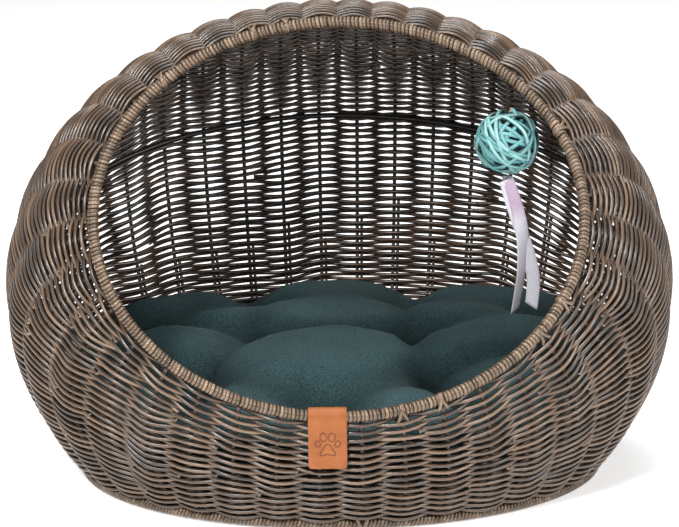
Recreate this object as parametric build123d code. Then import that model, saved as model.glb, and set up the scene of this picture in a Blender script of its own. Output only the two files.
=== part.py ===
from build123d import *
from math import asin, atan2, ceil, cos, pi, sin, sqrt, tan
import os

# Wicker pet bed basket: a woven egg on an oval wrapped base ring, with one large slanted mouth
# in a wrapped rim. A tufted cushion lies inside, and a wound ball with a ribbon hangs in the mouth.
# Millimetres. +Z up, +X to the right of somebody who looks in, and the mouth faces -Y.
# The origin is on the surface that the basket stands on, under the middle of the egg.

# ---------------------------------------------------------------- driving dimensions
# The middle of the woven wall is an ellipsoid.
BODY_HALF_WIDTH = 245.5
BODY_HALF_DEPTH = 178.5
BODY_HALF_HEIGHT = 214.0
BODY_CENTRE_HEIGHT = 138.0
WALL_THICKNESS = 7.0

# Mouth: the rim's plane passes through these two points of the middle section.
RIM_BOTTOM_HEIGHT = 96.5
RIM_TOP_Y = -36.0

# Rods and wrapping
WRAP_RADIUS = 4.5
CORE_RADIUS = 2.5
STAKE_RADIUS = 1.5
ARCH_RADIUS = 2.0
BASE_HALF_WIDTH = 194.0
BASE_HALF_DEPTH = 139.5
BASE_CORE_HEIGHT = 4.2

# Stakes: the uprights that the strands are woven round
STAKE_COUNT = 38
BASE_SPREAD = 0.06
RIM_SPREAD = 0.08
GIRTH_SPREAD = -0.18
STAKE_RUN = 45.0

# Arch: a bent rod inside the back wall, in a plane that slopes up towards the back
ARCH_BACK_HEIGHT = 239.0
ARCH_SLOPE = 0.52
ARCH_HALF_ANGLE = 98.0

# Floor
FLOOR_BAR_RADIUS = 1.5
FLOOR_BAR_COUNT = 7
FLOOR_BAR_PITCH = 50.0
FLOOR_WEAVE_BOTTOM = 5.0
FLOOR_WEAVE_TOP = 8.4

# Borders between the stretches of weave
ROOF_HEIGHT = 238.0
FRONT_BAND_HALF_WIDTH = 150.0
BACK_WALL_HALF_WIDTH = 185.0

# Leather label folded over the bottom of the rim
LABEL_WIDTH = 27.0
LABEL_LENGTH = 40.0
LABEL_BACK_LENGTH = 20.0
LABEL_THICKNESS = 1.6
LABEL_FOOT_GAP = 2.2
LABEL_FOLD_GAP = 0.7
LABEL_X = -9.0

# Cushion
CUSHION_WALL_GAP = 12.0
CUSHION_BOTTOM = 8.9
CUSHION_TOP = 97.0
CUSHION_EDGE_RADIUS = 18.0
COVER_THICKNESS = 3.0
TUFT_RADIUS = 1.0
# Stitched points, by hand: two columns of three, one in front, and two near each end
TUFT_PLACES = [(-56.0, 110.0), (46.0, 108.0), (-55.0, 42.0), (48.0, 42.0), (-66.0, -24.0), (57.0, -24.0),
               (-14.0, -92.0), (-142.0, 78.0), (144.0, 76.0), (-150.0, -8.0), (150.0, -8.0)]

# Toy: a wound ball on a thin cord, with two ribbon tails
TOY_X = 121.5
TOY_Y = -52.0
TOY_PIVOT_HEIGHT = 305.0
TOY_KNOT_RADIUS = 1.5
TOY_CORD_RADIUS = 0.6
TOY_CORD_TOP = 303.1
TOY_CORD_BOTTOM = 272.0
BALL_CENTRE_HEIGHT = 262.0
BALL_RADIUS = 24.0
BALL_WALL = 2.5
RIBBON_KNOT_RADIUS = 3.0
RIBBON_KNOT_HEIGHT = 234.5
RIBBON_WIDTH = 10.0
RIBBON_THICKNESS = 0.6
LEFT_TAIL_Y = -57.2
RIGHT_TAIL_Y = -55.9
# Ribbon routes: (x, z) from the knot down, each at its own y
LEFT_TAIL_ROUTE = [(122.3, 234.3), (126.4, 222.0), (131.2, 206.0), (134.0, 188.0), (133.5, 170.0), (131.0, 153.0),
                   (128.5, 137.0)]
RIGHT_TAIL_ROUTE = [(120.4, 234.3), (125.6, 216.0), (133.2, 194.0), (139.6, 173.0), (142.0, 156.0), (139.8, 140.0)]

HALF_WALL = WALL_THICKNESS / 2
FAR = 400.0


# ---------------------------------------------------------------- the egg and its sections
def height_at(x, y, offset=0.0):
    """Height of the upper half of the ellipsoid, moved outwards by offset."""
    across = (x / (BODY_HALF_WIDTH + offset)) ** 2 + (y / (BODY_HALF_DEPTH + offset)) ** 2
    return BODY_CENTRE_HEIGHT + (BODY_HALF_HEIGHT + offset) * sqrt(1 - across)


def front_at(z, offset=0.0):
    """How far the ellipsoid reaches forwards at a height, in the middle section."""
    rise = (z - BODY_CENTRE_HEIGHT) / (BODY_HALF_HEIGHT + offset)
    return -(BODY_HALF_DEPTH + offset) * sqrt(1 - rise ** 2)


class Section:
    """An ellipse cut from the ellipsoid by a plane that holds the X direction."""

    def __init__(self, front, back, half_width=None, offset=0.0):
        self.y, self.z = (front[0] + back[0]) / 2, (front[1] + back[1]) / 2
        self.half_depth = sqrt((back[0] - front[0]) ** 2 + (back[1] - front[1]) ** 2) / 2
        self.dy = (back[0] - front[0]) / (2 * self.half_depth)
        self.dz = (back[1] - front[1]) / (2 * self.half_depth)
        rise = (self.z - BODY_CENTRE_HEIGHT) / (BODY_HALF_HEIGHT + offset)
        inside = 1 - (self.y / (BODY_HALF_DEPTH + offset)) ** 2 - rise ** 2
        self.half_width = half_width or (BODY_HALF_WIDTH + offset) * sqrt(inside)

    def point(self, angle):
        """Point of the ellipse; angle 0 is its front, and it grows towards +X."""
        along = -self.half_depth * cos(angle)
        return (self.half_width * sin(angle), self.y + self.dy * along, self.z + self.dz * along)

    def spaced_angles(self, count, spread, waves):
        """Angles of evenly spaced points, wider apart where the cosine of the spread is high."""
        steps = 2000
        angles = [2 * pi * k / steps for k in range(steps + 1)]
        run = [0.0]
        for k in range(steps):
            middle = (angles[k] + angles[k + 1]) / 2
            speed = sqrt((self.half_width * cos(middle)) ** 2 + (self.half_depth * sin(middle)) ** 2)
            run.append(run[-1] + speed / (1 + spread * cos(waves * middle)))
        wanted = [run[-1] * (j + 0.5) / count for j in range(count)]
        result = []
        k = 0
        for target in wanted:
            while run[k + 1] < target:
                k += 1
            share = (target - run[k]) / (run[k + 1] - run[k])
            result.append(angles[k] + share * (angles[k + 1] - angles[k]))
        return result

    def plane(self):
        """Plane with x across and y towards the back of the section."""
        return Plane(origin=(0, self.y, self.z), x_dir=(1, 0, 0), z_dir=(0, -self.dz, self.dy))


def sloping_section(y, z, slope, offset=0.0):
    """Section by the plane that rises by slope towards the back, through a point (y, z)."""
    depth, height = BODY_HALF_DEPTH + offset, BODY_HALF_HEIGHT + offset
    drop = z - BODY_CENTRE_HEIGHT
    a = 1 / depth ** 2 + (slope / height) ** 2
    b = 2 * (y / depth ** 2 + slope * drop / height ** 2)
    c = (y / depth) ** 2 + (drop / height) ** 2 - 1
    root = sqrt(b ** 2 - 4 * a * c)
    ends = [(y + t, z + slope * t) for t in ((-b - root) / (2 * a), (-b + root) / (2 * a))]
    return Section(ends[0], ends[1], offset=offset)


RIM_BOTTOM = (front_at(RIM_BOTTOM_HEIGHT), RIM_BOTTOM_HEIGHT)
RIM_TOP = (RIM_TOP_Y, height_at(0, RIM_TOP_Y))
RIM = Section(RIM_BOTTOM, RIM_TOP)
BASE = Section((-BASE_HALF_DEPTH, BASE_CORE_HEIGHT), (BASE_HALF_DEPTH, BASE_CORE_HEIGHT), BASE_HALF_WIDTH)
ARCH_BACK_Y = BODY_HALF_DEPTH * sqrt(1 - ((ARCH_BACK_HEIGHT - BODY_CENTRE_HEIGHT) / BODY_HALF_HEIGHT) ** 2)
ARCH_OFFSET = -(HALF_WALL + ARCH_RADIUS + 0.2)
# The girth's plane holds the line where the rim's plane meets the base's plane.
HINGE_Y = RIM_BOTTOM[0] - (RIM_BOTTOM[1] - BASE_CORE_HEIGHT) * RIM.dy / RIM.dz
GIRTH_SLOPE = (ARCH_BACK_HEIGHT - BASE_CORE_HEIGHT) / (ARCH_BACK_Y - HINGE_Y)
GIRTH = sloping_section(ARCH_BACK_Y, ARCH_BACK_HEIGHT, GIRTH_SLOPE)


# ---------------------------------------------------------------- rods and tubes
def tangent_rod(points, radius):
    """A round rod along a chain of tangent arcs through points that lie in one plane."""
    chain = [ThreePointArc(points[0], points[1], points[2])]
    for point in points[3:]:
        chain.append(TangentArc(chain[-1] @ 1, point, tangent=chain[-1] % 1))
    path = Wire([edge.edge() for edge in chain])
    profile = Plane(origin=path @ 0, z_dir=path % 0) * Circle(radius)
    return sweep(profile, path=path)


def ring(section, outer, inner=0.0):
    """A round bar, or a hollow tube, all round a section's ellipse."""
    path = section.plane() * Ellipse(section.half_width, section.half_depth).edge()
    profile = Circle(outer) - Circle(inner) if inner else Circle(outer)
    return sweep(Plane(origin=path @ 0, z_dir=path % 0) * profile, path=path)


def to_unit(point):
    """The ellipsoid made into a unit sphere."""
    return Vector(point[0] / BODY_HALF_WIDTH, point[1] / BODY_HALF_DEPTH,
                  (point[2] - BODY_CENTRE_HEIGHT) / BODY_HALF_HEIGHT)


def from_unit(vector):
    return Vector(vector.X * BODY_HALF_WIDTH, vector.Y * BODY_HALF_DEPTH,
                  BODY_CENTRE_HEIGHT + vector.Z * BODY_HALF_HEIGHT)


def stake_points(foot, girth, head):
    """Points of the plane curve on the ellipsoid that runs from foot to head through girth."""
    start, middle, end = [to_unit(p).normalized() for p in (foot, girth, head)]
    normal = (middle - start).cross(end - start).normalized()
    centre = normal * normal.dot(start)
    radius = (start - centre).length
    east = (start - centre).normalized()
    north = normal.cross(east)
    turn = atan2((end - centre).dot(north), (end - centre).dot(east)) % (2 * pi)

    def at(angle):
        return from_unit(centre + (east * cos(angle) + north * sin(angle)) * radius)

    length = sum((at(turn * (k + 1) / 20) - at(turn * k / 20)).length for k in range(20))
    trim = (WRAP_RADIUS + 0.1) / length
    runs = max(3, ceil(length / STAKE_RUN))
    return [at(turn * (trim + (1 - 2 * trim) * k / runs)) for k in range(runs + 1)]


def stakes():
    feet = BASE.spaced_angles(STAKE_COUNT, BASE_SPREAD, 1)
    girths = GIRTH.spaced_angles(STAKE_COUNT, GIRTH_SPREAD, 2)
    heads = RIM.spaced_angles(STAKE_COUNT, RIM_SPREAD, 1)
    for foot, girth, head in zip(feet, girths, heads):
        points = stake_points(BASE.point(foot), GIRTH.point(girth), RIM.point(head))
        yield tangent_rod(points, STAKE_RADIUS)


# ---------------------------------------------------------------- woven wall
def egg(offset):
    """The whole ellipsoid, moved outwards by offset."""
    half_sizes = (BODY_HALF_WIDTH + offset, BODY_HALF_DEPTH + offset, BODY_HALF_HEIGHT + offset)
    return Pos(0, 0, BODY_CENTRE_HEIGHT) * scale(Sphere(1), by=half_sizes)


def block(low, high):
    """A box between two corners."""
    size = [high[k] - low[k] for k in range(3)]
    return Pos(*low) * Box(*size, align=(Align.MIN, Align.MIN, Align.MIN))


def wall():
    """The whole wall: it ends against the base ring's wrapping and the rim's wrapping."""
    shell = egg(HALF_WALL) - egg(-HALF_WALL)
    shell -= block((-FAR, -FAR, -FAR), (FAR, FAR, BASE_CORE_HEIGHT + WRAP_RADIUS + 0.1))
    in_front = RIM.plane() * block((-FAR, -FAR, -WRAP_RADIUS - 0.1), (FAR, FAR, FAR))
    return shell - in_front


def weave_zones():
    shell = wall()
    front = block((-FRONT_BAND_HALF_WIDTH, -FAR, 0), (FRONT_BAND_HALF_WIDTH, 0, ROOF_HEIGHT))
    back = block((-BACK_WALL_HALF_WIDTH, 0, 0), (BACK_WALL_HALF_WIDTH, FAR, ROOF_HEIGHT))
    low = block((-FAR, -FAR, 0), (FAR, FAR, ROOF_HEIGHT)) - front - back
    return {
        "front_band_weave": shell & front,
        "back_wall_weave": shell & back,
        "left_side_weave": shell & low & block((-FAR, -FAR, 0), (0, FAR, FAR)),
        "right_side_weave": shell & low & block((0, -FAR, 0), (FAR, FAR, FAR)),
        "roof_weave": shell & block((-FAR, -FAR, ROOF_HEIGHT), (FAR, FAR, FAR)),
    }


# ---------------------------------------------------------------- floor and plain solids
def upright_bar(x, y, radius, bottom, top):
    """A round bar that stands upright, between two heights."""
    base = (Align.CENTER, Align.CENTER, Align.MIN)
    return Pos(x, y, bottom) * Cylinder(radius, top - bottom, align=base)


def oval_plate(half_width, half_depth, bottom, top):
    return Pos(0, 0, bottom) * extrude(Ellipse(half_width, half_depth), amount=top - bottom)


def floor_bars():
    """Straight bars from the front of the base ring to its back, under the woven floor."""
    bars = []
    inner_width = BASE_HALF_WIDTH - WRAP_RADIUS
    inner_depth = BASE_HALF_DEPTH - WRAP_RADIUS
    height = FLOOR_WEAVE_BOTTOM - FLOOR_BAR_RADIUS - 0.1
    for k in range(FLOOR_BAR_COUNT):
        x = (k - (FLOOR_BAR_COUNT - 1) / 2) * FLOOR_BAR_PITCH
        reach = inner_depth * sqrt(1 - (x / inner_width) ** 2) - FLOOR_BAR_RADIUS
        bars.append(Pos(x, 0, height) * Rot(X=90) * Cylinder(FLOOR_BAR_RADIUS, 2 * reach))
    return Compound(children=bars)


# ---------------------------------------------------------------- label
def leather_label():
    """A strip folded over the rim: its front leaf lies on the weave, its back leaf inside it."""
    inside = WRAP_RADIUS + LABEL_FOLD_GAP
    outside = inside + LABEL_THICKNESS
    higher_edge = LABEL_X - LABEL_WIDTH / 2
    rim_y, rim_z = RIM.point(asin(higher_edge / RIM.half_width))[1:]
    foot_z = rim_z - LABEL_LENGTH
    foot_y = front_at(foot_z, HALF_WALL) - LABEL_FOOT_GAP
    lean = atan2(foot_y - (rim_y - inside), rim_z - foot_z)
    back_foot = (rim_y + inside + LABEL_BACK_LENGTH * sin(lean), rim_z - LABEL_BACK_LENGTH)
    step = (LABEL_THICKNESS * cos(lean), LABEL_THICKNESS * sin(lean))
    with BuildSketch(Plane.YZ) as profile:
        with BuildLine():
            Line((foot_y, foot_z), (rim_y - inside, rim_z))
            ThreePointArc((rim_y - inside, rim_z), (rim_y, rim_z + inside), (rim_y + inside, rim_z))
            Line((rim_y + inside, rim_z), back_foot)
            Line(back_foot, (back_foot[0] + step[0], back_foot[1]))
            Line((back_foot[0] + step[0], back_foot[1]), (rim_y + outside, rim_z))
            ThreePointArc((rim_y + outside, rim_z), (rim_y, rim_z + outside), (rim_y - outside, rim_z))
            Line((rim_y - outside, rim_z), (foot_y - step[0], foot_z - step[1]))
            Line((foot_y - step[0], foot_z - step[1]), (foot_y, foot_z))
        make_face()
    strip = extrude(profile.sketch, amount=LABEL_WIDTH / 2, both=True)
    return Pos(LABEL_X, 0, 0) * strip


# ---------------------------------------------------------------- cushion
def pillow(inset):
    """A rounded slab that follows the inside of the wall, inset all round by the given amount."""
    slab = egg(-HALF_WALL - CUSHION_WALL_GAP - inset)
    slab &= block((-FAR, -FAR, CUSHION_BOTTOM + inset), (FAR, FAR, CUSHION_TOP - inset))
    edges = slab.edges().group_by(Axis.Z)[-1]
    return fillet(edges, CUSHION_EDGE_RADIUS - inset)


def cushion():
    ties = [upright_bar(x, y, TUFT_RADIUS, CUSHION_BOTTOM, CUSHION_TOP) for x, y in TUFT_PLACES]
    outer = pillow(0.0)
    core = pillow(COVER_THICKNESS)
    cover = outer - core
    for tie in ties:
        cover -= tie
        core -= tie
    return {"cushion_cover": cover, "cushion_filling": core, "cushion_tuft_ties": Compound(children=ties)}


# ---------------------------------------------------------------- hanging toy
def corner_radii(points):
    """Arc radii that use 0.45 of the shorter run at each corner."""
    radii = []
    for before, corner, after in zip(points, points[1:], points[2:]):
        arriving, leaving = corner - before, after - corner
        turn = arriving.get_angle(leaving) * pi / 180
        radii.append(0.45 * min(arriving.length, leaving.length) / tan(turn / 2))
    return radii


def ribbon_tail(name, route, y):
    """A flat strip along straight runs joined by tangent arcs."""
    points = [Vector(x, y, z) for x, z in route]
    radii = corner_radii(points)
    path = FilletPolyline(*points, radius=radii)
    start = Plane(origin=path @ 0, x_dir=(0, 1, 0), z_dir=path % 0)
    strip = sweep(start * Rectangle(RIBBON_THICKNESS, RIBBON_WIDTH), path=path)
    expected = RIBBON_THICKNESS * RIBBON_WIDTH * path.length
    print(f"{name}: length {path.length:.1f}, radii {[round(r) for r in radii]}, "
          f"volume {strip.volume:.1f} against {expected:.1f}")
    return strip


def toy():
    ball_place = Pos(TOY_X, TOY_Y, BALL_CENTRE_HEIGHT)
    return {
        "toy_hanger_knot": Pos(TOY_X, TOY_Y, TOY_PIVOT_HEIGHT) * Sphere(TOY_KNOT_RADIUS),
        "toy_cord": upright_bar(TOY_X, TOY_Y, TOY_CORD_RADIUS, TOY_CORD_BOTTOM, TOY_CORD_TOP),
        "toy_ball": ball_place * (Sphere(BALL_RADIUS) - Sphere(BALL_RADIUS - BALL_WALL)),
        "ribbon_knot": Pos(TOY_X, TOY_Y, RIBBON_KNOT_HEIGHT) * Sphere(RIBBON_KNOT_RADIUS),
        "ribbon_tail_left": ribbon_tail("ribbon_tail_left", LEFT_TAIL_ROUTE, LEFT_TAIL_Y),
        "ribbon_tail_right": ribbon_tail("ribbon_tail_right", RIGHT_TAIL_ROUTE, RIGHT_TAIL_Y),
    }


# ---------------------------------------------------------------- all parts
def base_ring_wrap():
    """The base ring's wrapping, with a narrow flat that it stands on."""
    return ring(BASE, WRAP_RADIUS, CORE_RADIUS) - block((-FAR, -FAR, -FAR), (FAR, FAR, 0))


def back_arch():
    section = sloping_section(ARCH_BACK_Y + ARCH_OFFSET, ARCH_BACK_HEIGHT, ARCH_SLOPE, ARCH_OFFSET)
    count = 14
    half = ARCH_HALF_ANGLE * pi / 180
    angles = [pi - half + 2 * half * k / count for k in range(count + 1)]
    return tangent_rod([section.point(angle) for angle in angles], ARCH_RADIUS)


def all_parts():
    parts = {
        "base_ring_core": ring(BASE, CORE_RADIUS),
        "base_ring_wrap": base_ring_wrap(),
        "rim_core": ring(RIM, CORE_RADIUS),
        "rim_wrap": ring(RIM, WRAP_RADIUS, CORE_RADIUS),
        "back_arch": back_arch(),
        "floor_bars": floor_bars(),
        "floor_weave": oval_plate(BASE_HALF_WIDTH - WRAP_RADIUS - 0.2, BASE_HALF_DEPTH - WRAP_RADIUS - 0.2,
                                  FLOOR_WEAVE_BOTTOM, FLOOR_WEAVE_TOP),
        "leather_label": leather_label(),
    }
    parts.update(weave_zones())
    for number, stake in enumerate(stakes(), start=1):
        parts[f"stake_{number:02d}"] = stake
    parts.update(cushion())
    parts.update(toy())
    return parts


os.makedirs("parts", exist_ok=True)
for node, shape in all_parts().items():
    export_step(shape, f"parts/{node}.step")
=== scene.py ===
import math

import bmesh
import bpy
import numpy as np
from mathutils import Matrix, Vector


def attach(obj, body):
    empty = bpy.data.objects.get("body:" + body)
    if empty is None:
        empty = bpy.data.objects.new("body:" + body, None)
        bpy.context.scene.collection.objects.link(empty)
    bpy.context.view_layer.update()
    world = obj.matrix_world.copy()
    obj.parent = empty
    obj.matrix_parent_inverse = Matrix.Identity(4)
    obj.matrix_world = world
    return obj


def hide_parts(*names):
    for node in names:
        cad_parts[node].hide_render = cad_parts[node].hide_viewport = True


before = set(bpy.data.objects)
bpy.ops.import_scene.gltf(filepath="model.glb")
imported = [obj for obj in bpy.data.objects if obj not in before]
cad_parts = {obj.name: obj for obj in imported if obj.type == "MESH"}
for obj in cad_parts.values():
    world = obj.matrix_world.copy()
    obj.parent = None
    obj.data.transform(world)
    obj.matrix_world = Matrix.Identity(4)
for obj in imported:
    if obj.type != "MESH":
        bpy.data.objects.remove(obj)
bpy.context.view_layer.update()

MM = 0.001
TAU = 2 * math.pi

# ---- dimensions, mm
BODY = np.array([245.5, 178.5, 214.0])
BODY_CENTRE = np.array([0.0, 0.0, 138.0])
RIM_BOTTOM_HEIGHT = 96.5
RIM_TOP_Y = -36.0
BASE_HALF_WIDTH = 194.0
BASE_HALF_DEPTH = 139.5
BASE_CORE_HEIGHT = 4.2
WRAP_RADIUS = 4.5
ARCH_BACK_HEIGHT = 239.0
STAKE_COUNT = 38
BACK_STAKE = STAKE_COUNT // 2
STAKE_STEPS = 300
BASE_SPREAD = 0.06
RIM_SPREAD = 0.08
GIRTH_SPREAD = -0.18
STRAND_PITCH = 2.95
STRAND_RADIUS = 1.48
WEAVE_SWING = 2.95
WRAP_PITCH = 2.8
WRAP_REACH = 4.6
LENGTHWISE_GRAIN = 0.02
GRAIN_SHIFT = 37.0
UP = [0.0, 0.0, 1.0]
FORWARD = [0.0, -1.0, 0.0]


# ---- small helpers
def unit_rows(vectors):
    """The vectors along the last axis, each scaled to length one."""
    return vectors / np.linalg.norm(vectors, axis=-1, keepdims=True)


def run_along(path):
    """The distance from the path's start to each of its points."""
    return np.concatenate([[0], np.cumsum(np.linalg.norm(np.diff(path, axis=0), axis=1))])


def turn_angles(count):
    return TAU * np.arange(count) / count


def repeated(direction, count):
    return np.tile(direction, (count, 1))


def new_piece(name, data):
    piece = bpy.data.objects.new(name, data)
    bpy.context.collection.objects.link(piece)
    return piece


def keep_values(mesh, label, values):
    """Keeps one number for each point of the mesh, which its material reads."""
    layer = mesh.attributes.new(label, "FLOAT", "POINT")
    layer.data.foreach_set("value", values.astype(np.float32))


def shade_smooth(mesh):
    mesh.polygons.foreach_set("use_smooth", np.ones(len(mesh.polygons), dtype=bool))


# ---- the egg and its sections
def to_unit(points):
    return (points - BODY_CENTRE) / BODY


def from_unit(points):
    return points * BODY + BODY_CENTRE


def on_egg(points):
    """Points moved along their radius on to the middle surface of the wall."""
    return from_unit(unit_rows(to_unit(points)))


def egg_normal(points):
    return unit_rows(to_unit(points) / BODY)


class Section:
    """An ellipse in a plane that holds the X direction; angle 0 is its front."""

    def __init__(self, front, back, half_width=None):
        front, back = np.array(front), np.array(back)
        self.centre = (front + back) / 2
        self.half_depth = np.linalg.norm(back - front) / 2
        self.back = (back - front) / (2 * self.half_depth)
        inside = 1 - (self.centre[0] / BODY[1]) ** 2 - ((self.centre[1] - BODY_CENTRE[2]) / BODY[2]) ** 2
        self.half_width = half_width or BODY[0] * math.sqrt(inside)

    def points(self, angles):
        along = -self.half_depth * np.cos(angles)
        across = self.half_width * np.sin(angles)
        return np.stack([across, self.centre[0] + self.back[0] * along,
                         self.centre[1] + self.back[1] * along], axis=-1)

    def spaced_angles(self, count, spread=0.0, waves=1):
        """Angles at steps of arc length, which the spread widens where the cosine is high."""
        steps = np.linspace(0, TAU, 4001)
        middle = (steps[1:] + steps[:-1]) / 2
        speed = np.hypot(self.half_width * np.cos(middle), self.half_depth * np.sin(middle))
        run = np.concatenate([[0], np.cumsum(speed / (1 + spread * np.cos(waves * middle)))])
        return np.interp(run[-1] * (np.arange(count) + 0.5) / count, run, steps)

    def length(self):
        return run_along(self.points(np.linspace(0, TAU, 2001)))[-1]

    def normal(self):
        return np.array([0.0, -self.back[1], self.back[0]])


def profile_at(z):
    return BODY[1] * math.sqrt(1 - ((z - BODY_CENTRE[2]) / BODY[2]) ** 2)


def height_at(x, y):
    return BODY_CENTRE[2] + BODY[2] * math.sqrt(1 - (x / BODY[0]) ** 2 - (y / BODY[1]) ** 2)


RIM = Section((-profile_at(RIM_BOTTOM_HEIGHT), RIM_BOTTOM_HEIGHT), (RIM_TOP_Y, height_at(0, RIM_TOP_Y)))
BASE = Section((-BASE_HALF_DEPTH, BASE_CORE_HEIGHT), (BASE_HALF_DEPTH, BASE_CORE_HEIGHT), BASE_HALF_WIDTH)


def girth_section():
    """The middle section: its plane holds the line where the planes of rim and base meet."""
    rim_slope = RIM.back[1] / RIM.back[0]
    hinge_y = -profile_at(RIM_BOTTOM_HEIGHT) - (RIM_BOTTOM_HEIGHT - BASE_CORE_HEIGHT) / rim_slope
    back_y = profile_at(ARCH_BACK_HEIGHT)
    slope = (ARCH_BACK_HEIGHT - BASE_CORE_HEIGHT) / (back_y - hinge_y)
    drop = ARCH_BACK_HEIGHT - BODY_CENTRE[2]
    a = 1 / BODY[1] ** 2 + (slope / BODY[2]) ** 2
    b = 2 * (back_y / BODY[1] ** 2 + slope * drop / BODY[2] ** 2)
    front = -b / a
    return Section((back_y + front, ARCH_BACK_HEIGHT + slope * front), (back_y, ARCH_BACK_HEIGHT))


GIRTH = girth_section()


def stake_curve(foot, girth, head):
    """A stake's length and points at even steps along it, from the base ring's core to the rim's core."""
    start, middle, end = [unit_rows(to_unit(point)) for point in (foot, girth, head)]
    normal = unit_rows(np.cross(middle - start, end - start))
    centre = normal * (normal @ start)
    radius = np.linalg.norm(start - centre)
    east = (start - centre) / radius
    north = np.cross(normal, east)
    turn = math.atan2((end - centre) @ north, (end - centre) @ east) % TAU
    angles = np.linspace(0, turn, 4 * STAKE_STEPS + 1)[:, None]
    dense = from_unit(centre + radius * (np.cos(angles) * east + np.sin(angles) * north))
    run = run_along(dense)
    even = np.linspace(0, run[-1], STAKE_STEPS + 1)
    return run[-1], np.stack([np.interp(even, run, dense[:, k]) for k in range(3)], axis=-1)


FEET = BASE.points(BASE.spaced_angles(STAKE_COUNT, BASE_SPREAD))
GIRTHS = GIRTH.points(GIRTH.spaced_angles(STAKE_COUNT, GIRTH_SPREAD, 2))
HEADS = RIM.points(RIM.spaced_angles(STAKE_COUNT, RIM_SPREAD))
STAKES = [stake_curve(*ends) for ends in zip(FEET, GIRTHS, HEADS)]


def stake_point(j, distance):
    length, points = STAKES[j % STAKE_COUNT]
    where = np.clip(distance / length, 0, 1) * STAKE_STEPS
    low = int(min(where, STAKE_STEPS - 1))
    return points[low] + (points[low + 1] - points[low]) * (where - low)


# ---- swept strands
def tube_faces(count, sides, closed=False):
    """Faces between neighbouring rings of points."""
    ring = np.arange(count if closed else count - 1)[:, None]
    side = np.arange(sides)[None, :]
    here = ring * sides
    there = (ring + 1) % count * sides
    beside = (side + 1) % sides
    return np.stack([here + side, here + beside, there + beside, there + side], axis=-1).reshape(-1, 4)


class StrandMesh:
    """Gathers swept strands and makes one mesh object of them, in metres."""

    def __init__(self):
        self.points, self.faces, self.tone, self.tip, self.grain = [], [], [], [], []
        self.count = 0

    def add(self, path, normals, half_width, half_thickness=None, sides=8, closed=False, tone=0.5,
            cut=False):
        """Sweeps an oval along the path. A cut strand shows a pale face at both of its ends."""
        half_thickness = half_thickness or half_width
        n = len(path)
        if closed:
            tangent = np.roll(path, -1, axis=0) - np.roll(path, 1, axis=0)
        else:
            tangent = np.gradient(path, axis=0)
        tangent = unit_rows(tangent)
        across = unit_rows(np.cross(tangent, normals))
        upward = np.cross(across, tangent)
        around = TAU * (np.arange(sides) + 0.5) / sides
        ring = (np.cos(around)[None, :, None] * across[:, None, :] * half_width
                + np.sin(around)[None, :, None] * upward[:, None, :] * half_thickness)
        body = path[:, None, :] + ring
        self.points.append(body.reshape(-1, 3))
        grain = np.empty((n, sides, 3))
        grain[:, :, 0] = np.cos(around)
        grain[:, :, 1] = np.sin(around)
        grain[:, :, 2] = run_along(path)[:, None] * LENGTHWISE_GRAIN + tone * GRAIN_SHIFT
        self.grain.append(grain.reshape(-1, 3))
        self.tone.append(np.full(n * sides, tone))
        self.tip.append(np.zeros(n * sides))
        self.faces.append(tube_faces(n, sides, closed) + self.count)
        self.count += n * sides
        if not closed:
            for end in (0, n - 1):
                self.cap(body[end], end == 0, path[end], tone, cut, grain[end])

    def cap(self, ring, first, centre, tone, cut, grain):
        """A flat end: its own ring of points, so that it stays sharp."""
        sides = len(ring)
        self.points.append(np.vstack([ring, centre[None]]))
        self.grain.append(np.vstack([grain, grain.mean(axis=0)[None]]))
        self.tone.append(np.full(sides + 1, tone))
        self.tip.append(np.full(sides + 1, float(cut)))
        k = np.arange(sides)
        pair = (k, (k + 1) % sides) if not first else ((k + 1) % sides, k)
        self.faces.append(np.stack([pair[0], pair[1], np.full(sides, sides)], axis=-1) + self.count)
        self.count += sides + 1

    def build(self, name):
        points = np.vstack(self.points) * MM
        faces = sorted(self.faces, key=lambda each: -each.shape[1])
        sizes = np.concatenate([np.full(len(each), each.shape[1]) for each in faces])
        starts = np.concatenate([[0], np.cumsum(sizes)[:-1]])
        loops = np.concatenate([each.ravel() for each in faces])
        mesh = bpy.data.meshes.new(name)
        mesh.vertices.add(len(points))
        mesh.vertices.foreach_set("co", points.astype(np.float32).ravel())
        mesh.loops.add(len(loops))
        mesh.loops.foreach_set("vertex_index", loops.astype(np.int32))
        mesh.polygons.add(len(sizes))
        mesh.polygons.foreach_set("loop_start", starts.astype(np.int32))
        mesh.polygons.foreach_set("loop_total", sizes.astype(np.int32))
        shade_smooth(mesh)
        keep_values(mesh, "tone", np.concatenate(self.tone))
        keep_values(mesh, "tip", np.concatenate(self.tip))
        layer = mesh.attributes.new("grain", "FLOAT_VECTOR", "POINT")
        layer.data.foreach_set("vector", np.vstack(self.grain).astype(np.float32).ravel())
        mesh.update(calc_edges=True)
        mesh.validate()
        return new_piece(name, mesh)


# ---- materials
def new_material(name):
    material = bpy.data.materials.new(name)
    material.use_nodes = True
    tree = material.node_tree
    tree.nodes.clear()
    output = tree.nodes.new("ShaderNodeOutputMaterial")
    shader = tree.nodes.new("ShaderNodeBsdfPrincipled")
    tree.links.new(shader.outputs[0], output.inputs[0])
    return material, tree, shader


def add_node(tree, kind, **settings):
    made = tree.nodes.new(kind)
    for key, value in settings.items():
        if key in made.inputs:
            made.inputs[key].default_value = value
        else:
            setattr(made, key, value)
    return made


def set_sockets(node, values):
    for socket, value in values.items():
        node.inputs[socket].default_value = value


def attribute(tree, name):
    """A value that the mesh keeps for each of its points."""
    return add_node(tree, "ShaderNodeAttribute", attribute_name=name).outputs["Fac"]


def grain_place(tree):
    """The place on a strand: round it in X and Y, and along it in Z."""
    return add_node(tree, "ShaderNodeAttribute", attribute_name="grain").outputs["Vector"]


def object_place(tree):
    return add_node(tree, "ShaderNodeTexCoord").outputs["Object"]


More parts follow.
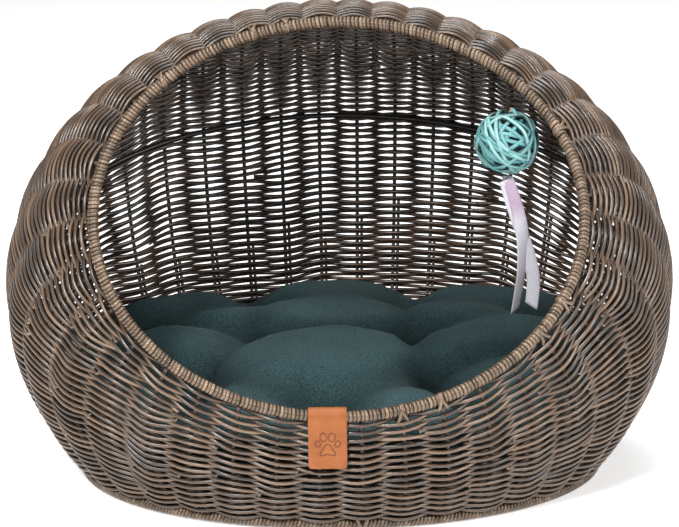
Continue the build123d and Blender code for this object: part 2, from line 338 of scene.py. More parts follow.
def texture(tree, kind, place, output, **settings):
    made = add_node(tree, kind, **settings)
    tree.links.new(place, made.inputs["Vector"])
    return made.outputs[output]


def noise(tree, place, scale, detail, roughness=0.5):
    return texture(tree, "ShaderNodeTexNoise", place, "Fac", Scale=scale, Detail=detail, Roughness=roughness)


def ramp(tree, source, stops):
    """Colours by value. The first two stops are the ends, and any others lie between them."""
    made = tree.nodes.new("ShaderNodeValToRGB")
    elements = made.color_ramp.elements
    for k, (place, colour) in enumerate(stops):
        element = elements[k] if k < 2 else elements.new(place)
        element.position = place
        element.color = (*colour, 1.0)
    tree.links.new(source, made.inputs["Fac"])
    return made.outputs["Color"]


def mix_colour(tree, factor, a, b, blend="MIX"):
    made = tree.nodes.new("ShaderNodeMix")
    made.data_type = "RGBA"
    made.blend_type = blend
    for socket, value in ((made.inputs[0], factor), (made.inputs[6], a), (made.inputs[7], b)):
        if isinstance(value, bpy.types.NodeSocket):
            tree.links.new(value, socket)
        elif isinstance(value, (int, float)):
            socket.default_value = value
        else:
            socket.default_value = (*value, 1.0)
    return made.outputs[2]


def bump(tree, shader, height, strength, distance):
    made = add_node(tree, "ShaderNodeBump", Strength=strength, Distance=distance)
    tree.links.new(height, made.inputs["Height"])
    tree.links.new(made.outputs["Normal"], shader.inputs["Normal"])


def wicker_material(name, dark, middle, light, roughness):
    """Moulded strand: its own tone, fine lengthwise grooves, painted shade on its flanks and on its inner
    face, and pale faces where it is cut.
    """
    material, tree, shader = new_material(name)
    place = grain_place(tree)
    streaks = noise(tree, place, 3.2, 3.0, 0.6)
    base = ramp(tree, attribute(tree, "tone"), [(0.0, dark), (1.0, light), (0.5, middle)])
    streak_colour = ramp(tree, streaks, [(0.32, (0.5, 0.47, 0.44)), (0.68, (1.5, 1.46, 1.42))])
    striped = mix_colour(tree, 0.8, base, streak_colour, "MULTIPLY")
    # Painted shade by the strand's round: darkest on its flanks, and darker on its inner face than on its
    # outer face.
    split = add_node(tree, "ShaderNodeSeparateXYZ")
    tree.links.new(place, split.inputs[0])
    side = add_node(tree, "ShaderNodeMapRange", **{"From Min": -1.0})
    tree.links.new(split.outputs["Y"], side.inputs["Value"])
    shade = ramp(tree, side.outputs["Result"], [(0.08, (0.55, 0.52, 0.52)), (0.92, (1.0, 1.0, 1.0)),
                                                (0.42, (0.24, 0.22, 0.21)), (0.58, (0.28, 0.26, 0.24))])
    with_painted_shade = mix_colour(tree, 1.0, striped, shade, "MULTIPLY")
    coloured = mix_colour(tree, attribute(tree, "tip"), with_painted_shade, (0.42, 0.33, 0.25))
    tree.links.new(coloured, shader.inputs["Base Color"])
    rough = add_node(tree, "ShaderNodeMapRange", **{"To Min": roughness - 0.09, "To Max": roughness + 0.12})
    tree.links.new(streaks, rough.inputs["Value"])
    tree.links.new(rough.outputs["Result"], shader.inputs["Roughness"])
    shader.inputs["Specular IOR Level"].default_value = 0.8
    bump(tree, shader, streaks, 0.4, 0.0004)
    return material


def grainy_material(name, low, high, scale, roughness, metallic=0.0):
    """A surface of two tones with a fine, slightly rough grain."""
    material, tree, shader = new_material(name)
    grain = noise(tree, object_place(tree), scale, 4.0, 0.6)
    tree.links.new(ramp(tree, grain, [(0.3, low), (0.7, high)]), shader.inputs["Base Color"])
    set_sockets(shader, {"Roughness": roughness, "Metallic": metallic})
    bump(tree, shader, grain, 0.2, 0.0003)
    return material


def fleece_material():
    """Short-pile fleece: fine fuzzy grain over soft blotches, with painted shade in the creases and painted
    light on the tops of the lumps, and a pale sheen at grazing angles."""
    material, tree, shader = new_material("teal_fleece")
    place = object_place(tree)
    pile = noise(tree, place, 900.0, 3.0, 0.7)
    blotch = noise(tree, place, 22.0, 3.0)
    pile_colour = ramp(tree, pile, [(0.34, (0.006, 0.018, 0.02)), (0.66, (0.04, 0.076, 0.081))])
    blotch_colour = ramp(tree, blotch, [(0.3, (0.85, 0.87, 0.88)), (0.7, (1.12, 1.1, 1.1))])
    # Painted light and shade by crease depth: brighter on the tops of the lumps, darker in the creases.
    painted_light_and_shade = ramp(tree, attribute(tree, "crease"), [(0.05, (1.35, 1.36, 1.36)), (0.75, (0.2, 0.22, 0.24)),
                                                  (0.35, (0.8, 0.8, 0.8))])
    nap = mix_colour(tree, 1.0, pile_colour, blotch_colour, "MULTIPLY")
    tree.links.new(mix_colour(tree, 1.0, nap, painted_light_and_shade, "MULTIPLY"), shader.inputs["Base Color"])
    set_sockets(shader, {"Roughness": 0.95, "Specular IOR Level": 0.15, "Sheen Weight": 0.14,
                         "Sheen Roughness": 0.35, "Sheen Tint": (0.45, 0.62, 0.64, 1.0)})
    bump(tree, shader, pile, 0.9, 0.0011)
    return material


def satin_material():
    """Satin ribbon: fine lengthwise weave with a soft gloss."""
    material, tree, shader = new_material("ribbon_satin")
    threads = noise(tree, grain_place(tree), 14.0, 2.0)
    side = ramp(tree, attribute(tree, "tone"), [(0.0, (0.62, 0.62, 0.66)), (1.0, (0.44, 0.32, 0.43))])
    shade = ramp(tree, threads, [(0.3, (0.74, 0.73, 0.76)), (0.7, (1.12, 1.11, 1.12))])
    tree.links.new(mix_colour(tree, 1.0, side, shade, "MULTIPLY"), shader.inputs["Base Color"])
    set_sockets(shader, {"Roughness": 0.28, "Specular IOR Level": 0.7, "Sheen Weight": 0.25})
    bump(tree, shader, threads, 0.25, 0.0002)
    return material


def leather_material():
    """Veg-tanned leather: fine pores, soft mottling, and darker pressed grooves."""
    material, tree, shader = new_material("label_leather")
    place = object_place(tree)
    pores = texture(tree, "ShaderNodeTexVoronoi", place, "Distance", Scale=1800.0)
    mottle = noise(tree, place, 90.0, 5.0, 0.6)
    face = ramp(tree, mottle, [(0.3, (0.25, 0.068, 0.011)), (0.7, (0.35, 0.107, 0.022))])
    # Darker in the pressed grooves.
    coloured = mix_colour(tree, attribute(tree, "groove_darkening"), face, (0.1, 0.024, 0.007))
    tree.links.new(coloured, shader.inputs["Base Color"])
    set_sockets(shader, {"Roughness": 0.5, "Specular IOR Level": 0.4})
    bump(tree, shader, pores, 0.15, 0.0002)
    return material


STRAND = wicker_material("wicker_strand", (0.032, 0.0175, 0.008), (0.088, 0.051, 0.0275),
                         (0.2, 0.127, 0.075), 0.3)
WRAP = wicker_material("wicker_wrap", (0.06, 0.035, 0.018), (0.125, 0.08, 0.046), (0.28, 0.195, 0.125), 0.3)
STAKE = grainy_material("stake_strand", (0.05, 0.037, 0.029), (0.15, 0.115, 0.09), 400.0, 0.25)
WIRE = grainy_material("frame_wire", (0.012, 0.01, 0.009), (0.03, 0.025, 0.022), 300.0, 0.35, metallic=0.2)
FLEECE = fleece_material()
THREAD = grainy_material("dark_thread", (0.01, 0.009, 0.008), (0.03, 0.026, 0.024), 2500.0, 0.8)
TIE_THREAD = grainy_material("teal_thread", (0.012, 0.028, 0.03), (0.03, 0.055, 0.058), 2500.0, 0.8)
BALL = wicker_material("toy_rattan", (0.1, 0.33, 0.345), (0.19, 0.45, 0.47), (0.3, 0.57, 0.59), 0.5)
SATIN = satin_material()
LEATHER = leather_material()


def dress(piece, material, body):
    """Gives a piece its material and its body."""
    piece.data.materials.clear()
    piece.data.materials.append(material)
    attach(piece, body)
    return piece


# ---- the woven wall
STEPS = 8
WALL_PIECES = 5
PAIR_SCATTER = 0.8
PAIR_GAP = 0.3


def strands_per_stake():
    """The usable length of each stake, and the even number of strands that crosses it."""
    usable = np.array([length - 2 * WRAP_REACH for length, _ in STAKES])
    return usable, (2 * np.round(usable / (2 * STRAND_PITCH))).astype(int)


def short_strand_blocks(total, through, chance):
    """Numbers of pairs of short strands between neighbouring through strands, spread over the height."""
    edge = 2
    slots = through - 1 - 2 * edge
    pairs = (total - through) // 2
    places = (np.arange(pairs) + chance.random(pairs)) * slots / pairs
    counts = np.bincount(places.astype(int), minlength=slots)
    return [0] * edge + list(counts) + [0] * edge


def plan_strands():
    """For each strand, its place along each stake that it crosses: {strand: {stake: distance}}.

    The through strands go all round. The short ones end two by two on their way to the front."""
    usable, counts = strands_per_stake()
    chance = np.random.default_rng(11)
    total, through = int(counts[BACK_STAKE]), int(counts[0])
    blocks = short_strand_blocks(total, through, chance)
    all_pairs = sum(blocks)
    route = {strand: {} for strand in range(total)}
    members = []
    number = 0
    for pairs in blocks + [0]:
        number += 1
        members.append(list(range(number, number + 2 * pairs)))
        number += 2 * pairs
    tails = {-1: {}, 1: {}}
    for direction in (-1, 1):
        first = BACK_STAKE - 1 if direction < 0 else BACK_STAKE
        left = [list(block) for block in members]
        last = {}
        for step in range(BACK_STAKE):
            j = (first + direction * step) % STAKE_COUNT
            wanted = (int(counts[j]) - through) // 2
            while sum(map(len, left)) // 2 > wanted:
                share = wanted / all_pairs
                surplus = [(len(block) - len(full) * share) / 2 + PAIR_SCATTER * chance.random()
                           if block else -math.inf for block, full in zip(left, members)]
                block = left[int(np.argmax(surplus))]
                first_out = int(chance.integers(0, len(block) - 1))
                del block[first_out:first_out + 2]
            ended = {strand for full, block in zip(members, left) for strand in full if strand not in block}
            present = [strand for strand in range(total) if strand not in ended]
            gap = usable[j] / len(present)
            for place, strand in enumerate(present):
                route[strand][j] = WRAP_REACH + gap * (place + 0.5)
                last[strand] = j
            for strand in ended - set(tails[direction]):
                below = sum(other < strand for other in present)
                second = last.get(strand - 1) == last.get(strand) and strand - 1 in ended
                tails[direction][strand] = WRAP_REACH + gap * (below + (PAIR_GAP if second else -PAIR_GAP))
    return route, tails


def smooth_through(points, steps, closed):
    """Catmull-Rom through the points, with the given number of steps from each to the next."""
    n = len(points)
    if closed:
        padded = np.vstack([points[-1:], points, points[:2]])
        spans = n
    else:
        padded = np.vstack([2 * points[0] - points[1], points, 2 * points[-1] - points[-2]])
        spans = n - 1
    t = (np.arange(steps) / steps)[:, None]
    pieces = []
    for k in range(spans):
        p0, p1, p2, p3 = padded[k:k + 4]
        pieces.append(0.5 * (2 * p1 + (p2 - p0) * t + (2 * p0 - 5 * p1 + 4 * p2 - p3) * t ** 2
                             + (3 * p1 - p0 - 3 * p2 + p3) * t ** 3))
    if not closed:
        pieces.append(points[-1:])
    return np.vstack(pieces)


def weave_strand(strand, places, tails, chance):
    """The strand's middle line, over one stake and under the next, its normals and whether it is a ring."""
    right = min(j for j in places if j < BACK_STAKE)
    left = max(j for j in places if j >= BACK_STAKE)
    closed = right == 0 and left == STAKE_COUNT - 1
    points = [stake_point(j, places[j]) for j in range(right, left + 1)]
    first_out = 0 if closed else int(STEPS * (0.35 + 0.25 * chance.random()))
    last_out = 0 if closed else int(STEPS * (0.35 + 0.25 * chance.random()))
    if not closed:
        points.insert(0, stake_point(right - 1, tails[-1][strand]))
        points.append(stake_point(left + 1, tails[1][strand]))
        right -= 1
    line = smooth_through(np.array(points), STEPS, closed)
    line = on_egg(line[first_out:len(line) - last_out])
    u = right + (first_out + np.arange(len(line))) / STEPS
    normals = egg_normal(line)
    swing = np.cos(math.pi * u) * (1 if strand % 2 else -1)
    swing = np.sign(swing) * np.abs(swing) ** 0.9
    wobble = 0.22 * np.sin(u * 0.9 + 6.0 * chance.random()) + 0.14 * np.sin(u * 2.3 + 6.0 * chance.random())
    upward = unit_rows(np.cross(normals, np.gradient(line, axis=0)))
    line = line + normals * (WEAVE_SWING * swing)[:, None] + upward * wobble[:, None]
    return line, normals, closed


def woven_wall():
    """All the wall's strands, in groups from the base ring to the rim."""
    routes, tails = plan_strands()
    chance = np.random.default_rng(5)
    total = len(routes)
    pieces = []
    for group in range(WALL_PIECES):
        mesh = StrandMesh()
        for strand in range(group * total // WALL_PIECES, (group + 1) * total // WALL_PIECES):
            line, normals, closed = weave_strand(strand, routes[strand], tails, chance)
            tone = float(np.clip(0.5 + 0.26 * chance.standard_normal(), 0, 1))
            radius = STRAND_RADIUS * (1 + 0.03 * chance.standard_normal())
            mesh.add(line, normals, radius, closed=closed, tone=tone, cut=True)
        pieces.append(mesh.build(f"wall_strands_{group + 1}"))
    return pieces


# ---- wrapped rim and base ring
TURN_STEPS = 16
WRAP_SIDES = 10
WRAP_SPOKE = 3.0
WRAP_HALF_WIDTH = 1.42
WRAP_HALF_THICKNESS = 1.15
WRAP_SLIP = 1.15
TOY_PIVOT = np.array([121.5, -52.0, 305.0])
LASHED_SHARE = 0.24
LASHING_CLEAR_OF_TOY = 20.0


def keep_above_ground(piece):
    for vertex in piece.data.vertices:
        vertex.co.z = max(vertex.co.z, 0.0)


def wrapped_ring(name, section, seed):
    """A flat strand wound round a section's core, turn beside turn."""
    chance = np.random.default_rng(seed)
    turns = int(section.length() / WRAP_PITCH)
    count = turns * TURN_STEPS
    centre = section.points(section.spaced_angles(count))
    outward = centre - np.array([0, section.centre[0], section.centre[1]])
    tangent = unit_rows(np.roll(centre, -1, axis=0) - np.roll(centre, 1, axis=0))
    axial = section.normal()[None, :]
    radial = np.cross(tangent, axial)
    radial *= np.sign((radial * outward).sum(axis=1, keepdims=True))
    phase = TAU * np.arange(count) / TURN_STEPS
    loose = np.repeat(chance.standard_normal(turns), TURN_STEPS)
    spoke = np.cos(phase)[:, None] * radial + np.sin(phase)[:, None] * axial
    slip = WRAP_SLIP * np.cos(phase - 0.8) + 0.22 * loose * np.sin(phase / 2)
    mesh = StrandMesh()
    line = centre + spoke * WRAP_SPOKE + tangent * slip[:, None]
    mesh.add(line, spoke, WRAP_HALF_WIDTH, WRAP_HALF_THICKNESS, sides=WRAP_SIDES, closed=True)
    piece = mesh.build(name)
    tone = np.clip(0.5 + 0.2 * chance.standard_normal(turns), 0, 1)
    layer = piece.data.attributes["tone"]
    layer.data.foreach_set("value", np.repeat(tone, TURN_STEPS * WRAP_SIDES).astype(np.float32))
    return piece


def lashings(name, section, angles, ends, seed):
    """Crossed loops that tie a ring to the strands beside it, at some of its stakes."""
    chance = np.random.default_rng(seed)
    mesh = StrandMesh()
    t = turn_angles(28)
    centres = section.points(angles)
    beside = section.points(angles + 0.01) - section.points(angles - 0.01)
    for j in range(STAKE_COUNT):
        near_toy = np.linalg.norm(centres[j] - TOY_PIVOT) < LASHING_CLEAR_OF_TOY
        if chance.random() > LASHED_SHARE or near_toy:
            continue
        inward = unit_rows(stake_point(j, ends[j]) - centres[j])
        outward = egg_normal(centres[j])
        outward = unit_rows(outward - inward * (outward @ inward))
        along = unit_rows(beside[j])
        spokes = np.outer(np.cos(t), inward) + np.outer(np.sin(t), outward)
        for lean in (-1.0, 1.0):
            reach = 5.6 + 1.0 * chance.random()
            line = centres[j] + np.outer(2.3 + reach * np.cos(t), inward)
            line += np.outer(4.45 * np.sin(t), outward) + np.outer(lean * (2.4 * np.cos(t) + 1.6), along)
            mesh.add(line, spokes, 1.35, 0.9, sides=8, closed=True, tone=0.3 + 0.5 * float(chance.random()))
    return mesh.build(name)


# ---- second stakes and floor
SECOND_STAKE_GAP = 3.6
SECOND_STAKE_RADIUS = 1.3
FLOOR_BAR_PITCH = 50.0
FLOOR_BARS = 7
FLOOR_MIDDLE = 5.1
FLOOR_STRAND_PITCH = 2.9
FLOOR_SWING = 2.3
FLOOR_ROD_RADIUS = 1.5


def second_stakes():
    """Short stakes beside the back stakes, in the lower part of the wall."""
    chance = np.random.default_rng(33)
    mesh = StrandMesh()
    for j in range(BACK_STAKE - 8, BACK_STAKE + 8):
        reach = (0.27 + 0.13 * chance.random() ** 2) * STAKES[j][0]
        line = np.array([stake_point(j, d) for d in np.linspace(3.0, reach, 40)])
        normals = egg_normal(line)
        tangent = unit_rows(np.gradient(line, axis=0))
        line = line + SECOND_STAKE_GAP * np.cross(normals, tangent)
        mesh.add(line, normals, SECOND_STAKE_RADIUS, cut=True)
    return mesh.build("second_stakes")


def woven_floor():
    """Strands from side to side over and under the floor's rods, inside the base ring."""
    chance = np.random.default_rng(21)
    mesh = StrandMesh()
    width, depth = BASE_HALF_WIDTH - WRAP_RADIUS, BASE_HALF_DEPTH - WRAP_RADIUS
    rows = int(2 * depth / FLOOR_STRAND_PITCH)
    for row in range(rows):
        y = -depth + (row + 0.5) * 2 * depth / rows
        reach = width * math.sqrt(max(0.0, 1 - (y / depth) ** 2)) - 1.0
        if reach < 12:
            continue
        x = np.linspace(-reach, reach, max(4, int(2 * reach / 6)))
        swing = np.cos(math.pi * x / FLOOR_BAR_PITCH) * (1 if row % 2 else -1)
        line = np.stack([x, np.full_like(x, y), FLOOR_MIDDLE + FLOOR_SWING * swing], axis=-1)
        tone = float(np.clip(0.45 + 0.2 * chance.standard_normal(), 0, 1))
        mesh.add(line, repeated(UP, len(x)), 1.4, 1.0, sides=6, tone=tone)
    strands = mesh.build("floor_strands")
    mesh = StrandMesh()
    for k in range(FLOOR_BARS):
        x = (k - (FLOOR_BARS - 1) / 2) * FLOOR_BAR_PITCH
        reach = depth * math.sqrt(1 - (x / width) ** 2) - 1.5
        y = np.linspace(-reach, reach, 24)
        line = np.stack([np.full_like(y, x), y, np.full_like(y, FLOOR_MIDDLE)], axis=-1)
        mesh.add(line, repeated(UP, len(y)), FLOOR_ROD_RADIUS)
    return strands, mesh.build("floor_rods")


# ---- build the basket
wall = [dress(piece, STRAND, "basket") for piece in woven_wall()]
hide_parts("front_band_weave", "left_side_weave", "right_side_weave", "back_wall_weave",
            "roof_weave")
rim_wrap = dress(wrapped_ring("rim_wrapping", RIM, 3), WRAP, "basket")
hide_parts("rim_wrap")
base_wrap = dress(wrapped_ring("base_wrapping", BASE, 4), WRAP, "basket")
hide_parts("base_ring_wrap")
heads = RIM.spaced_angles(STAKE_COUNT, RIM_SPREAD)
feet = BASE.spaced_angles(STAKE_COUNT, BASE_SPREAD)
below_rim = [length - 10.0 for length, _ in STAKES]
above_base = [10.0] * STAKE_COUNT
rim_lashings = lashings("rim_lashings", RIM, heads, below_rim, 31)
base_lashings = lashings("base_lashings", BASE, feet, above_base, 32)
for piece in (rim_lashings, base_lashings):
    dress(piece, WRAP, "basket")
for piece in (base_wrap, base_lashings):
    keep_above_ground(piece)
dress(second_stakes(), STAKE, "basket")
floor_strands, floor_rods = woven_floor()
dress(floor_strands, STRAND, "basket")
dress(floor_rods, STRAND, "basket")
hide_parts("floor_weave")
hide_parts("floor_bars")


def repaint(node, material):
    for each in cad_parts[node].material_slots:
        each.material = material


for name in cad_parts:
    if name.startswith("stake_"):
        repaint(name, STAKE)
for name in ("base_ring_core", "rim_core", "back_arch"):
    repaint(name, WIRE)


# ---- cushion
TUFTS = np.array([(-59.0, 99.0), (49.0, 96.0), (-60.0, 26.0), (51.0, 24.0), (-95.0, -52.0), (62.0, -48.0),
                  (-9.0, -112.0), (-144.0, 66.0), (146.0, 64.0), (-156.0, -14.0), (154.0, -14.0)])
CUSHION_BOTTOM = 9.0
CUSHION_MIDDLE = 56.0
CUSHION_HALF_HEIGHT = 47.0
CUSHION_FRONT_RISE = 33.0
CUSHION_BACK_RISE = 54.0
CUSHION_EDGE = 9
CUSHION_GAP = 5.2
CUSHION_SLACK = 3.0
TUFT_DEPTH = 33.0
TUFT_REACH = 30.0
SEAM_REACH = 33.0
CREASE_SHAPE = 1.7
STITCHED_REACH = 5.0
STITCH_REACH = 3.2
STITCH_RADIUS = 0.45
MOST_SWELL = 12.0
LUMP_TOP = 99.0
LUMP_ROUNDING = 7.5
SEAMS = [(0, 1), (2, 3), (0, 2), (2, 4), (1, 3), (3, 5), (4, 6), (5, 6), (0, 7), (2, 7), (7, 9), (9, 4),
         (1, 8), (3, 8), (8, 10), (10, 5)]
OUTER_SEAMS = [(0, -78, 172), (1, 66, 172), (7, -215, 112), (9, -240, -22), (8, 215, 112), (10, 240, -22),
               (6, -16, -170), (4, -120, -125), (5, 112, -125)]


def cushion_start():
    """A rounded slab that follows the wall, with its stitched points pulled in."""
    mesh = bpy.data.meshes.new("cushion_cover_soft")
    ball = bmesh.new()
    bmesh.ops.create_icosphere(ball, subdivisions=6, radius=1.0)
    ball.to_mesh(mesh)
    ball.free()
    unit = np.empty(len(mesh.vertices) * 3)
    mesh.vertices.foreach_get("co", unit)
    unit = unit.reshape(-1, 3)
    flat = np.hypot(unit[:, 0], unit[:, 1])
    size = (flat ** CUSHION_EDGE + np.abs(unit[:, 2]) ** CUSHION_EDGE) ** (1 / CUSHION_EDGE)
    points = unit / size[:, None]
    rise = np.interp(points[:, 1], [-0.7, 0.35], [CUSHION_FRONT_RISE, CUSHION_BACK_RISE])
    z = CUSHION_MIDDLE + points[:, 2] * np.where(points[:, 2] > 0, rise, CUSHION_HALF_HEIGHT)
    narrowing = np.sqrt(1 - ((z - BODY_CENTRE[2]) / (BODY[2] - CUSHION_GAP)) ** 2)
    points[:, :2] *= (BODY[:2] - CUSHION_GAP - CUSHION_SLACK) * narrowing[:, None]
    points[:, 2] = z
    distance = np.linalg.norm(points[:, None, :2] - TUFTS[None], axis=2).min(axis=1)
    drop = (TUFT_DEPTH + 3.0) * np.maximum(0, 1 - distance / TUFT_REACH) ** CREASE_SHAPE
    inner_seams = [(TUFTS[a], TUFTS[b], True) for a, b in SEAMS]
    outer_seams = [(TUFTS[a], np.array([x, y]), False) for a, x, y in OUTER_SEAMS]
    for start, end, inner in inner_seams + outer_seams:
        along = end - start
        t = np.clip((points[:, :2] - start) @ along / (along @ along), 0, 1)
        away = np.linalg.norm(points[:, :2] - start - t[:, None] * along, axis=1)
        sag = 1 - 4 * t * (1 - t) * 0.62 if inner else 1 - 0.85 * t
        drop = np.maximum(drop, TUFT_DEPTH * sag * np.maximum(0, 1 - away / SEAM_REACH) ** CREASE_SHAPE)
    drop *= np.clip(unit[:, 2] * 6, 0, 1)
    points[:, 2] -= drop
    # The crease depth, which the fleece reads for its painted shade in the creases and painted light on the
    # lump tops.
    keep_values(mesh, "crease", np.clip(drop / TUFT_DEPTH, 0, 1))
    mesh.vertices.foreach_set("co", (points * MM).ravel())
    shade_smooth(mesh)
    mesh.update()
    cushion = new_piece("cushion_cover_soft", mesh)
    group = cushion.vertex_groups.new(name="stitched")
    group.add(np.where(distance < STITCHED_REACH)[0].tolist(), 1.0, "REPLACE")
    return cushion, points


def inflate(cushion):
    """Cloth with air pressure: the cover swells between the stitched points and creases at them."""
    scene = bpy.context.scene
    cloth = cushion.modifiers.new("Cloth", "CLOTH")
    settings = cloth.settings
    settings.quality = 5
    settings.mass = 0.25
    settings.tension_stiffness = 12
    settings.compression_stiffness = 12
    settings.shear_stiffness = 5
    settings.bending_stiffness = 0.25
    settings.use_pressure = True
    settings.uniform_pressure_force = 4.0
    settings.shrink_min = -0.1
    settings.vertex_group_mass = "stitched"
    settings.effector_weights.gravity = 0.0
    cloth.collision_settings.use_collision = False
    for number in range(1, 23):
        scene.frame_set(number)
    settled = cushion.evaluated_get(bpy.context.evaluated_depsgraph_get())
    result = np.empty(len(cushion.data.vertices) * 3)
    settled.data.vertices.foreach_get("co", result)
    cushion.modifiers.clear()
    scene.frame_set(1)
    return result.reshape(-1, 3) / MM


def build_cushion():
    """The settled cover, held inside the wall and above the floor, its lumps rounded off at the top."""
    cushion, start = cushion_start()
    points = inflate(cushion)
    move = points - start
    length = np.linalg.norm(move, axis=1, keepdims=True)
    points = start + move * np.minimum(1.0, MOST_SWELL / np.maximum(length, 1e-6))
    inner = BODY - CUSHION_GAP
    unit = (points - BODY_CENTRE) / inner
    reach = np.linalg.norm(unit, axis=1, keepdims=True)
    points = np.where(reach > 1, BODY_CENTRE + unit / reach * inner, points)
    over = np.maximum(points[:, 2] - LUMP_TOP, 0.0)
    rounded = points[:, 2] - over + LUMP_ROUNDING * (1 - np.exp(-over / LUMP_ROUNDING))
    points[:, 2] = np.maximum(rounded, CUSHION_BOTTOM)
    cushion.data.vertices.foreach_set("co", (points * MM).ravel())
    cushion.data.update()
    smooth = cushion.modifiers.new("Smooth", "SMOOTH")
    smooth.factor = 0.5
    smooth.iterations = 2
    return cushion


def tuft_stitches(cushion):
    """Two crossed stitches at the bottom of each dimple."""
    mesh = StrandMesh()
    settled = cushion.evaluated_get(bpy.context.evaluated_depsgraph_get())
    for x, y in TUFTS:
        hit, place, _, _ = settled.ray_cast(Vector((x, y, 300)) * MM, Vector((0, 0, -1)))
        z = place.z / MM if hit else CUSHION_MIDDLE
        for turn in (0.5, 2.1):
            t = np.linspace(-1, 1, 9)
            across, along = STITCH_REACH * math.cos(turn), STITCH_REACH * math.sin(turn)
            line = np.stack([x + across * t, y + along * t, z + 0.9 - 2.0 * t ** 2], axis=-1)
            mesh.add(line, repeated(UP, len(t)), STITCH_RADIUS, sides=6)
    return mesh.build("tuft_stitches")


cushion = build_cushion()
dress(cushion, FLEECE, "cushion")
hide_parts("cushion_cover", "cushion_filling")
stitches = dress(tuft_stitches(cushion), TIE_THREAD, "cushion")
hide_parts("cushion_tuft_ties")


# ---- toy
BALL_CENTRE = np.array([121.5, -52.0, 262.0])
BALL_STRAND_RADIUS = 1.65
BALL_LOOPS = 27
INNER_LOOPS = 13
INNER_REACH = 19.2
OUTER_REACH = 22.0


def wound_ball():
    """Rattan strands wound round in loops that cross over and under each other."""
    chance = np.random.default_rng(8)
    mesh = StrandMesh()
    angles = turn_angles(72)
    for loop in range(BALL_LOOPS):
        outer = loop >= INNER_LOOPS
        lift = 0.3 * (2 * chance.random() - 1)
        waves = int(chance.integers(4, 8))
        radius = 0.5 * np.sin(angles * waves + TAU * chance.random())
        radius += 0.9 * (chance.random() - 0.5) + (OUTER_REACH if outer else INNER_REACH)
        ring = unit_rows(np.stack([np.cos(angles), np.sin(angles), np.full_like(angles, lift)], axis=-1))
        axis = unit_rows(chance.standard_normal(3))
        turn = Matrix.Rotation(math.pi * (0.15 + 0.85 * chance.random()), 3, Vector(axis))
        ring = ring @ np.array(turn.transposed())
        # The inner loops get tones near the dark end: painted shade inside the ball.
        mesh.add(BALL_CENTRE + ring * radius[:, None], ring, BALL_STRAND_RADIUS, BALL_STRAND_RADIUS * 0.7,
                 closed=True, tone=float(chance.random()) * (1.0 if outer else 0.2))
    t = np.linspace(0, 1, 10)[:, None]
    start, end = np.array([6.0, -4.0, 21.0]), np.array([2.2, -6.2, 25.0])
    stub = BALL_CENTRE + start * (1 - t) + end * t + np.array([0, 0, 1.2]) * np.sin(math.pi * t)
    mesh.add(stub, repeated(FORWARD, len(t)), BALL_STRAND_RADIUS, tone=0.6, cut=True)
    return mesh.build("toy_ball_strands")


def nurbs_line(name, points):
    """A smooth curve object with these control points, and the points along it, both in metres."""
    data = bpy.data.curves.new(name, "CURVE")
    data.dimensions = "3D"
    data.resolution_u = 12
    spline = data.splines.new("NURBS")
    spline.points.add(len(points) - 1)
    for target, point in zip(spline.points, points):
        target.co = (*(np.array(point) * MM), 1.0)
    spline.order_u = 3
    spline.use_endpoint_u = True
    curve = new_piece(name, data)
    sampled = bpy.data.meshes.new_from_object(curve)
    line = np.array([vertex.co[:] for vertex in sampled.vertices])
    bpy.data.meshes.remove(sampled)
    return curve, line


CORD_ROUTE = [(121.5, -52.0, 303.1), (121.7, -52.0, 295.0), (121.4, -52.1, 284.0), (121.5, -52.0, 272.0)]
LEFT_TAIL_ROUTE = [(x, -57.2, z) for x, z in (
    (122.3, 234.3), (126.4, 222.0), (131.2, 206.0), (134.0, 188.0), (133.5, 170.0), (131.0, 153.0),
    (128.5, 137.0))]
RIGHT_TAIL_ROUTE = [(x, -55.9, z) for x, z in (
    (120.4, 234.3), (125.6, 216.0), (133.2, 194.0), (139.6, 173.0), (142.0, 156.0), (139.8, 140.0))]
BAND_ROUTE = [(121.1, -55.2, 235.6), (121.4, -56.1, 235.0), (121.9, -56.6, 233.8), (122.7, -56.6, 231.8)]
RIBBON_HALF_WIDTH = 4.9
RIBBON_HALF_THICKNESS = 0.16
RIBBON_BOW = 0.5
RIBBON_COLUMNS = 9
WHITE_TONE = 0.1


